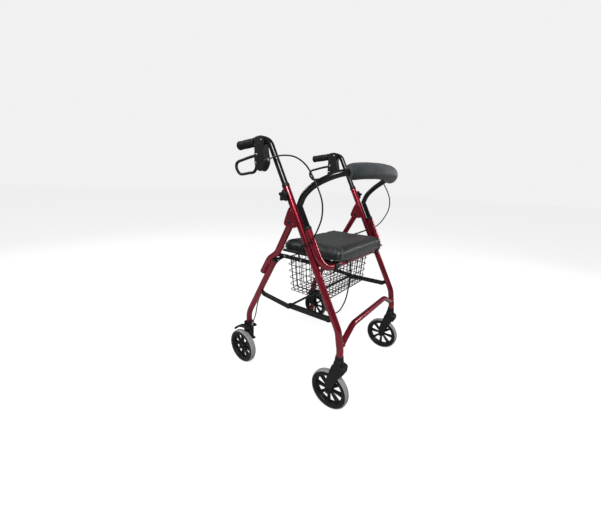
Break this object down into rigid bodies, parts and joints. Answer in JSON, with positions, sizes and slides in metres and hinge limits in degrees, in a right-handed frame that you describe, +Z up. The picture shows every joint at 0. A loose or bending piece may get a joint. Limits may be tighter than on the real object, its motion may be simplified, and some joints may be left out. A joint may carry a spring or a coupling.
{
  "type": "rollator walker",
  "caption": "Folding rollator walker: red tube frame, swivelling front casters, loop hand brakes, padded seat, foam backrest bar and basket.",
  "frame": {"origin": "on the floor, under the middle of the bounding box, in the plane between the left and right halves", "axes": "+X to the user's left, +Y to the back, where the user walks, +Z up; the walker travels towards -Y"},
  "size_m": [0.6148, 0.597, 0.962],
  "materials": {
    "red_paint": "metallic gloss",
    "black_tube": "semi-gloss",
    "black_steel": "satin",
    "moulded": "fine grain",
    "grip_rubber": "matt",
    "tyre_grey": "matt",
    "rim_plastic": "satin",
    "zinc": "bright",
    "vinyl": "semi-matt",
    "foam": "matt",
    "cable_sheath": "satin"
  },
  "bodies": {
    "frame": {"front_leg_left": "red_paint", "front_leg_right": "red_paint", "hinge_bracket_left": "red_paint", "hinge_bracket_right": "red_paint", "fold_pin_left": "zinc", "fold_pin_right": "zinc", "caster_stem_left": "zinc", "caster_stem_right": "zinc", "upper_cable_left": "cable_sheath", "upper_cable_right": "cable_sheath", "lower_cable_left": "cable_sheath", "lower_cable_right": "cable_sheath", "lower_crossbar": "red_paint", "seat_u_tube": "red_paint", "basket": "black_steel"},
    "rear_frame": {"rear_leg_upper_left": "red_paint", "rear_leg_upper_right": "red_paint", "rear_leg_lower_left": "red_paint", "rear_leg_lower_right": "red_paint", "rear_axle_left": "zinc", "rear_axle_right": "zinc", "brake_block_left": "moulded", "brake_block_right": "moulded"},
    "brace_front": {"front_link_left": "black_steel", "front_link_right": "black_steel", "brace_rod": "black_steel"},
    "seat": {"seat_board": "moulded", "seat_pad": "vinyl", "seat_rail_left": "black_steel", "seat_rail_right": "black_steel"},
    "backrest": {"backrest_bar": "black_tube", "backrest_pad": "foam"},
    "handle_left": {"handle_tube_left": "black_tube", "grip_left": "grip_rubber", "brake_housing_left": "moulded"},
    "lever_left": {"brake_lever_left": "moulded"},
    "knob_left": {"height_knob_left": "moulded"},
    "caster_left": {"caster_fork_left": "moulded", "front_axle_left": "zinc"},
    "front_wheel_left": {"front_rim_left": "rim_plastic", "front_tyre_left": "tyre_grey"},
    "rear_wheel_left": {"rear_rim_left": "rim_plastic", "rear_tyre_left": "tyre_grey"},
    "brake_arm_left": {"brake_arm_left": "black_steel"},
    "brace_rear_left": {"rear_link_left": "black_steel"},
    "handle_right": {"handle_tube_right": "black_tube", "grip_right": "grip_rubber", "brake_housing_right": "moulded"},
    "lever_right": {"brake_lever_right": "moulded"},
    "knob_right": {"height_knob_right": "moulded"},
    "caster_right": {"caster_fork_right": "moulded", "front_axle_right": "zinc"},
    "front_wheel_right": {"front_rim_right": "rim_plastic", "front_tyre_right": "tyre_grey"},
    "rear_wheel_right": {"rear_rim_right": "rim_plastic", "rear_tyre_right": "tyre_grey"},
    "brake_arm_right": {"brake_arm_right": "black_steel"},
    "brace_rear_right": {"rear_link_right": "black_steel"}
  },
  "joints": [
    {"name": "frame_fold", "type": "hinge", "parent": "frame", "child": "rear_frame", "pos_m": [0, -0.0175, 0.668], "axis": [-1, 0, 0], "range_deg": [0, 28], "deforming": ["lower_cable_left", "lower_cable_right"]},
    {"name": "brace_front_fold", "type": "hinge", "parent": "frame", "child": "brace_front", "pos_m": [0, -0.19403, 0.34466], "axis": [-1, 0, 0], "range_deg": [0, 54.5]},
    {"name": "brace_rear_fold_left", "type": "hinge", "parent": "rear_frame", "child": "brace_rear_left", "pos_m": [0.2546, 0.12243, 0.3507], "axis": [-1, 0, 0], "range_deg": [-90.6, 0]},
    {"name": "brace_rear_fold_right", "type": "hinge", "parent": "rear_frame", "child": "brace_rear_right", "pos_m": [-0.2546, 0.12243, 0.3507], "axis": [-1, 0, 0], "range_deg": [-90.6, 0]},
    {"name": "seat_lift", "type": "hinge", "parent": "frame", "child": "seat", "pos_m": [0, -0.16052, 0.51908], "axis": [1, 0, 0], "range_deg": [0, 85]},
    {"name": "backrest_lift", "type": "slide", "parent": "frame", "child": "backrest", "axis": [0, 0.471, 0.8821], "range_m": [0, 0.08]},
    {"name": "handle_height_left", "type": "slide", "parent": "frame", "child": "handle_left", "axis": [0, 0.471, 0.8821], "range_m": [-0.12, 0.03], "deforming": ["upper_cable_left"]},
    {"name": "brake_lever_left", "type": "hinge", "parent": "handle_left", "child": "lever_left", "pos_m": [0.252, 0.1485, 0.898], "axis": [1, 0, 0], "range_deg": [-18, 15], "stiffness_Nm_per_rad": 2},
    {"name": "brake_arm_left", "type": "hinge", "parent": "rear_frame", "child": "brake_arm_left", "pos_m": [0.27, 0.1995, 0.173], "axis": [1, 0, 0], "range_deg": [-1.6, 1.9]},
    {"name": "knob_turn_left", "type": "hinge", "parent": "frame", "child": "knob_left", "pos_m": [0.279, -0.00299, 0.75807], "axis": [1, 0, 0], "continuous": true},
    {"name": "caster_swivel_left", "type": "hinge", "parent": "frame", "child": "caster_left", "pos_m": [0.252, -0.2515, 0.19], "axis": [0, 0, 1], "continuous": true},
    {"name": "front_wheel_spin_left", "type": "hinge", "parent": "caster_left", "child": "front_wheel_left", "pos_m": [0.252, -0.2225, 0.076], "axis": [1, 0, 0], "continuous": true},
    {"name": "rear_wheel_spin_left", "type": "hinge", "parent": "rear_frame", "child": "rear_wheel_left", "pos_m": [0.289, 0.2225, 0.076], "axis": [1, 0, 0], "continuous": true},
    {"name": "handle_height_right", "type": "slide", "parent": "frame", "child": "handle_right", "axis": [0, 0.471, 0.8821], "range_m": [-0.12, 0.03], "deforming": ["upper_cable_right"]},
    {"name": "brake_lever_right", "type": "hinge", "parent": "handle_right", "child": "lever_right", "pos_m": [-0.252, 0.1485, 0.898], "axis": [1, 0, 0], "range_deg": [-18, 15], "stiffness_Nm_per_rad": 2},
    {"name": "brake_arm_right", "type": "hinge", "parent": "rear_frame", "child": "brake_arm_right", "pos_m": [-0.27, 0.1995, 0.173], "axis": [1, 0, 0], "range_deg": [-1.6, 1.9]},
    {"name": "knob_turn_right", "type": "hinge", "parent": "frame", "child": "knob_right", "pos_m": [-0.279, -0.00299, 0.75807], "axis": [-1, 0, 0], "continuous": true},
    {"name": "caster_swivel_right", "type": "hinge", "parent": "frame", "child": "caster_right", "pos_m": [-0.252, -0.2515, 0.19], "axis": [0, 0, 1], "continuous": true},
    {"name": "front_wheel_spin_right", "type": "hinge", "parent": "caster_right", "child": "front_wheel_right", "pos_m": [-0.252, -0.2225, 0.076], "axis": [1, 0, 0], "continuous": true},
    {"name": "rear_wheel_spin_right", "type": "hinge", "parent": "rear_frame", "child": "rear_wheel_right", "pos_m": [-0.289, 0.2225, 0.076], "axis": [1, 0, 0], "continuous": true}
  ],
  "couplings": [
    {"joint": "brace_front_fold", "follows": "frame_fold", "ratio": 1.9424},
    {"joint": "brace_rear_fold_left", "follows": "frame_fold", "ratio": -3.2317},
    {"joint": "brake_arm_left", "follows": "brake_lever_left", "ratio": -0.1},
    {"joint": "brace_rear_fold_right", "follows": "frame_fold", "ratio": -3.2317},
    {"joint": "brake_arm_right", "follows": "brake_lever_right", "ratio": -0.1}
  ]
}
